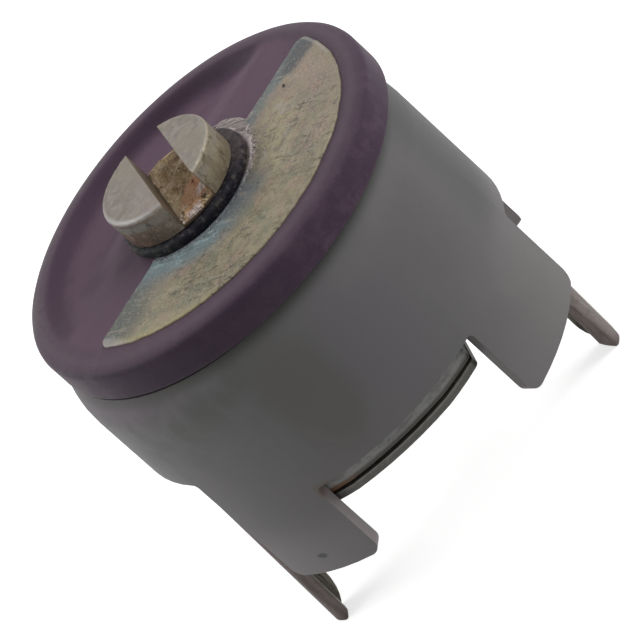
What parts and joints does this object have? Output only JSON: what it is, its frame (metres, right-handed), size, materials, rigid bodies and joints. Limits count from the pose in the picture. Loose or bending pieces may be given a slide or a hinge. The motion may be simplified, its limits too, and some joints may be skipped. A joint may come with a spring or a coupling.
{
  "type": "trimmer capacitor",
  "caption": "Ceramic disc trimmer capacitor: violet rotor disc with a slotted head, turning on a round grey housing with feet and folded board legs.",
  "frame": {"origin": "on the board under the feet, midway between the rotor's axis and the housing's axis", "axes": "+Z along the rotor's axis towards the screwdriver, -Y towards the side whose notch shows the contact strip, +X towards the rotor's leg"},
  "size_m": [0.0102, 0.01, 0.0116],
  "materials": {
    "housing_plastic": "smooth matte grey",
    "stator_ceramic": "opaque light grey ceramic",
    "rotor_ceramic": "opaque violet ceramic, semi-matte",
    "silver_film": "fired silver, dull",
    "rotor_film": "tarnished silver film, mottled",
    "solder": "bright solder",
    "dark_washer": "dark oxidised",
    "tinned_strip": "tinned strip, satin",
    "tinned_brass": "tinned brass, satin",
    "spring_bronze": "bare bronze"
  },
  "bodies": {
    "stator": {"housing": "housing_plastic", "stator_body": "stator_ceramic", "stator_electrode": "silver_film", "stator_terminal": "tinned_strip", "rotor_terminal": "tinned_strip"},
    "rotor": {"rotor_disc": "rotor_ceramic", "rotor_electrode": "rotor_film", "solder_bead": "solder", "contact_washer": "dark_washer", "spindle": "tinned_brass", "spring_washer": "spring_bronze", "retaining_collar": "tinned_brass"}
  },
  "joints": [
    {"name": "rotor_turn", "type": "hinge", "parent": "stator", "child": "rotor", "pos_m": [0.0001, 0, 0.0074], "axis": [0, 0, 1], "continuous": true}
  ]
}
